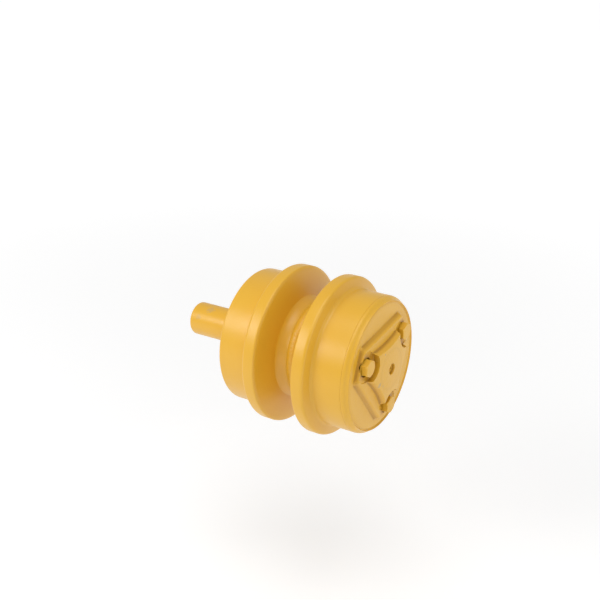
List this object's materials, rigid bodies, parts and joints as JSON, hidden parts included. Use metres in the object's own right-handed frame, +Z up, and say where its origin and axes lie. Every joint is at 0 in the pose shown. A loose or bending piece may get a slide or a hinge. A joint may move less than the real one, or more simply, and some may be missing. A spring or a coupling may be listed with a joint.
{
  "type": "carrier roller",
  "caption": "Flanged carrier roller for a crawler undercarriage: spinning shell with a bolted cast end cover, on sealed tapered bearings around a fixed one-sided stub shaft.",
  "frame": {"origin": "centre of the flat end face of the stub shaft, on the spin axis", "axes": "+Y along the spin axis and out of the stub's end, so the cover faces -Y; +Z up; +X to the right when the cover is seen face-on"},
  "size_m": [0.194, 0.2803, 0.194],
  "materials": {
    "yellow_paint": "satin golden-yellow machine enamel over cast and forged steel",
    "seal_rubber": "matt black nitrile",
    "seal_iron": "lapped alloy iron",
    "cage_steel": "pressed sheet steel",
    "bearing_steel": "ground bearing steel",
    "bare_steel": "machined, oiled",
    "zinc_steel": "zinc plated"
  },
  "bodies": {
    "shaft_side": {"shaft": "yellow_paint", "seal_collar": "yellow_paint", "collar_o_ring": "seal_rubber", "standing_seal_ring": "seal_iron", "standing_seal_toric": "seal_rubber", "lock_washer": "zinc_steel", "lock_nut": "bare_steel", "inner_bearing_cone": "bearing_steel", "outer_bearing_cone": "bearing_steel"},
    "rolling_shell": {"shell_inner_half": "yellow_paint", "shell_outer_half": "yellow_paint", "waist_weld_bead": "yellow_paint", "cover": "yellow_paint", "cover_o_ring": "seal_rubber", "cover_bolt_1": "yellow_paint", "cover_bolt_2": "yellow_paint", "cover_bolt_3": "yellow_paint", "spring_washer_1": "zinc_steel", "spring_washer_2": "zinc_steel", "spring_washer_3": "zinc_steel", "filler_plug": "yellow_paint", "inner_bearing_cup": "bearing_steel", "outer_bearing_cup": "bearing_steel", "turning_seal_ring": "seal_iron", "turning_seal_toric": "seal_rubber"},
    "inner_cage": {"inner_bearing_cage": "cage_steel"},
    "inner_roller_1": {"inner_bearing_roller_1": "bearing_steel"},
    "inner_roller_2": {"inner_bearing_roller_2": "bearing_steel"},
    "inner_roller_3": {"inner_bearing_roller_3": "bearing_steel"},
    "inner_roller_4": {"inner_bearing_roller_4": "bearing_steel"},
    "inner_roller_5": {"inner_bearing_roller_5": "bearing_steel"},
    "inner_roller_6": {"inner_bearing_roller_6": "bearing_steel"},
    "inner_roller_7": {"inner_bearing_roller_7": "bearing_steel"},
    "inner_roller_8": {"inner_bearing_roller_8": "bearing_steel"},
    "inner_roller_9": {"inner_bearing_roller_9": "bearing_steel"},
    "inner_roller_10": {"inner_bearing_roller_10": "bearing_steel"},
    "inner_roller_11": {"inner_bearing_roller_11": "bearing_steel"},
    "inner_roller_12": {"inner_bearing_roller_12": "bearing_steel"},
    "inner_roller_13": {"inner_bearing_roller_13": "bearing_steel"},
    "inner_roller_14": {"inner_bearing_roller_14": "bearing_steel"},
    "outer_cage": {"outer_bearing_cage": "cage_steel"},
    "outer_roller_1": {"outer_bearing_roller_1": "bearing_steel"},
    "outer_roller_2": {"outer_bearing_roller_2": "bearing_steel"},
    "outer_roller_3": {"outer_bearing_roller_3": "bearing_steel"},
    "outer_roller_4": {"outer_bearing_roller_4": "bearing_steel"},
    "outer_roller_5": {"outer_bearing_roller_5": "bearing_steel"},
    "outer_roller_6": {"outer_bearing_roller_6": "bearing_steel"},
    "outer_roller_7": {"outer_bearing_roller_7": "bearing_steel"},
    "outer_roller_8": {"outer_bearing_roller_8": "bearing_steel"},
    "outer_roller_9": {"outer_bearing_roller_9": "bearing_steel"},
    "outer_roller_10": {"outer_bearing_roller_10": "bearing_steel"},
    "outer_roller_11": {"outer_bearing_roller_11": "bearing_steel"},
    "outer_roller_12": {"outer_bearing_roller_12": "bearing_steel"}
  },
  "joints": [
    {"name": "roller_spin", "type": "hinge", "parent": "shaft_side", "child": "rolling_shell", "pos_m": [0, -0.176, 0], "axis": [0, 1, 0], "continuous": true},
    {"name": "inner_cage_spin", "type": "hinge", "parent": "shaft_side", "child": "inner_cage", "pos_m": [0, -0.127, 0], "axis": [0, 1, 0], "continuous": true},
    {"name": "inner_roller_1_spin", "type": "hinge", "parent": "inner_cage", "child": "inner_roller_1", "pos_m": [0.0352, -0.127, 0], "axis": [0.2079, 0.9781, 0], "continuous": true},
    {"name": "inner_roller_2_spin", "type": "hinge", "parent": "inner_cage", "child": "inner_roller_2", "pos_m": [0.03171, -0.127, -0.01527], "axis": [0.1873, 0.9781, -0.0902], "continuous": true},
    {"name": "inner_roller_3_spin", "type": "hinge", "parent": "inner_cage", "child": "inner_roller_3", "pos_m": [0.02195, -0.127, -0.02752], "axis": [0.1296, 0.9781, -0.1626], "continuous": true},
    {"name": "inner_roller_4_spin", "type": "hinge", "parent": "inner_cage", "child": "inner_roller_4", "pos_m": [0.00783, -0.127, -0.03432], "axis": [0.0463, 0.9781, -0.2027], "continuous": true},
    {"name": "inner_roller_5_spin", "type": "hinge", "parent": "inner_cage", "child": "inner_roller_5", "pos_m": [-0.00783, -0.127, -0.03432], "axis": [-0.0463, 0.9781, -0.2027], "continuous": true},
    {"name": "inner_roller_6_spin", "type": "hinge", "parent": "inner_cage", "child": "inner_roller_6", "pos_m": [-0.02195, -0.127, -0.02752], "axis": [-0.1296, 0.9781, -0.1626], "continuous": true},
    {"name": "inner_roller_7_spin", "type": "hinge", "parent": "inner_cage", "child": "inner_roller_7", "pos_m": [-0.03171, -0.127, -0.01527], "axis": [-0.1873, 0.9781, -0.0902], "continuous": true},
    {"name": "inner_roller_8_spin", "type": "hinge", "parent": "inner_cage", "child": "inner_roller_8", "pos_m": [-0.0352, -0.127, 0], "axis": [-0.2079, 0.9781, 0], "continuous": true},
    {"name": "inner_roller_9_spin", "type": "hinge", "parent": "inner_cage", "child": "inner_roller_9", "pos_m": [-0.03171, -0.127, 0.01527], "axis": [-0.1873, 0.9781, 0.0902], "continuous": true},
    {"name": "inner_roller_10_spin", "type": "hinge", "parent": "inner_cage", "child": "inner_roller_10", "pos_m": [-0.02195, -0.127, 0.02752], "axis": [-0.1296, 0.9781, 0.1626], "continuous": true},
    {"name": "inner_roller_11_spin", "type": "hinge", "parent": "inner_cage", "child": "inner_roller_11", "pos_m": [-0.00783, -0.127, 0.03432], "axis": [-0.0463, 0.9781, 0.2027], "continuous": true},
    {"name": "inner_roller_12_spin", "type": "hinge", "parent": "inner_cage", "child": "inner_roller_12", "pos_m": [0.00783, -0.127, 0.03432], "axis": [0.0463, 0.9781, 0.2027], "continuous": true},
    {"name": "inner_roller_13_spin", "type": "hinge", "parent": "inner_cage", "child": "inner_roller_13", "pos_m": [0.02195, -0.127, 0.02752], "axis": [0.1296, 0.9781, 0.1626], "continuous": true},
    {"name": "inner_roller_14_spin", "type": "hinge", "parent": "inner_cage", "child": "inner_roller_14", "pos_m": [0.03171, -0.127, 0.01527], "axis": [0.1873, 0.9781, 0.0902], "continuous": true},
    {"name": "outer_cage_spin", "type": "hinge", "parent": "shaft_side", "child": "outer_cage", "pos_m": [0, -0.224, 0], "axis": [0, 1, 0], "continuous": true},
    {"name": "outer_roller_1_spin", "type": "hinge", "parent": "outer_cage", "child": "outer_roller_1", "pos_m": [0.0302, -0.224, 0], "axis": [-0.2079, 0.9781, 0], "continuous": true},
    {"name": "outer_roller_2_spin", "type": "hinge", "parent": "outer_cage", "child": "outer_roller_2", "pos_m": [0.02615, -0.224, -0.0151], "axis": [-0.1801, 0.9781, 0.104], "continuous": true},
    {"name": "outer_roller_3_spin", "type": "hinge", "parent": "outer_cage", "child": "outer_roller_3", "pos_m": [0.0151, -0.224, -0.02615], "axis": [-0.104, 0.9781, 0.1801], "continuous": true},
    {"name": "outer_roller_4_spin", "type": "hinge", "parent": "outer_cage", "child": "outer_roller_4", "pos_m": [0, -0.224, -0.0302], "axis": [0, 0.9781, 0.2079], "continuous": true},
    {"name": "outer_roller_5_spin", "type": "hinge", "parent": "outer_cage", "child": "outer_roller_5", "pos_m": [-0.0151, -0.224, -0.02615], "axis": [0.104, 0.9781, 0.1801], "continuous": true},
    {"name": "outer_roller_6_spin", "type": "hinge", "parent": "outer_cage", "child": "outer_roller_6", "pos_m": [-0.02615, -0.224, -0.0151], "axis": [0.1801, 0.9781, 0.104], "continuous": true},
    {"name": "outer_roller_7_spin", "type": "hinge", "parent": "outer_cage", "child": "outer_roller_7", "pos_m": [-0.0302, -0.224, 0], "axis": [0.2079, 0.9781, 0], "continuous": true},
    {"name": "outer_roller_8_spin", "type": "hinge", "parent": "outer_cage", "child": "outer_roller_8", "pos_m": [-0.02615, -0.224, 0.0151], "axis": [0.1801, 0.9781, -0.104], "continuous": true},
    {"name": "outer_roller_9_spin", "type": "hinge", "parent": "outer_cage", "child": "outer_roller_9", "pos_m": [-0.0151, -0.224, 0.02615], "axis": [0.104, 0.9781, -0.1801], "continuous": true},
    {"name": "outer_roller_10_spin", "type": "hinge", "parent": "outer_cage", "child": "outer_roller_10", "pos_m": [0, -0.224, 0.0302], "axis": [0, 0.9781, -0.2079], "continuous": true},
    {"name": "outer_roller_11_spin", "type": "hinge", "parent": "outer_cage", "child": "outer_roller_11", "pos_m": [0.0151, -0.224, 0.02615], "axis": [-0.104, 0.9781, -0.1801], "continuous": true},
    {"name": "outer_roller_12_spin", "type": "hinge", "parent": "outer_cage", "child": "outer_roller_12", "pos_m": [0.02615, -0.224, 0.0151], "axis": [-0.1801, 0.9781, -0.104], "continuous": true}
  ],
  "couplings": [
    {"joint": "inner_cage_spin", "follows": "roller_spin", "ratio": 0.5695},
    {"joint": "inner_roller_1_spin", "follows": "roller_spin", "ratio": 3.452},
    {"joint": "inner_roller_2_spin", "follows": "roller_spin", "ratio": 3.452},
    {"joint": "inner_roller_3_spin", "follows": "roller_spin", "ratio": 3.452},
    {"joint": "inner_roller_4_spin", "follows": "roller_spin", "ratio": 3.452},
    {"joint": "inner_roller_5_spin", "follows": "roller_spin", "ratio": 3.452},
    {"joint": "inner_roller_6_spin", "follows": "roller_spin", "ratio": 3.452},
    {"joint": "inner_roller_7_spin", "follows": "roller_spin", "ratio": 3.452},
    {"joint": "inner_roller_8_spin", "follows": "roller_spin", "ratio": 3.452},
    {"joint": "inner_roller_9_spin", "follows": "roller_spin", "ratio": 3.452},
    {"joint": "inner_roller_10_spin", "follows": "roller_spin", "ratio": 3.452},
    {"joint": "inner_roller_11_spin", "follows": "roller_spin", "ratio": 3.452},
    {"joint": "inner_roller_12_spin", "follows": "roller_spin", "ratio": 3.452},
    {"joint": "inner_roller_13_spin", "follows": "roller_spin", "ratio": 3.452},
    {"joint": "inner_roller_14_spin", "follows": "roller_spin", "ratio": 3.452},
    {"joint": "outer_cage_spin", "follows": "roller_spin", "ratio": 0.5777},
    {"joint": "outer_roller_1_spin", "follows": "roller_spin", "ratio": 3.0698},
    {"joint": "outer_roller_2_spin", "follows": "roller_spin", "ratio": 3.0698},
    {"joint": "outer_roller_3_spin", "follows": "roller_spin", "ratio": 3.0698},
    {"joint": "outer_roller_4_spin", "follows": "roller_spin", "ratio": 3.0698},
    {"joint": "outer_roller_5_spin", "follows": "roller_spin", "ratio": 3.0698},
    {"joint": "outer_roller_6_spin", "follows": "roller_spin", "ratio": 3.0698},
    {"joint": "outer_roller_7_spin", "follows": "roller_spin", "ratio": 3.0698},
    {"joint": "outer_roller_8_spin", "follows": "roller_spin", "ratio": 3.0698},
    {"joint": "outer_roller_9_spin", "follows": "roller_spin", "ratio": 3.0698},
    {"joint": "outer_roller_10_spin", "follows": "roller_spin", "ratio": 3.0698},
    {"joint": "outer_roller_11_spin", "follows": "roller_spin", "ratio": 3.0698},
    {"joint": "outer_roller_12_spin", "follows": "roller_spin", "ratio": 3.0698}
  ]
}
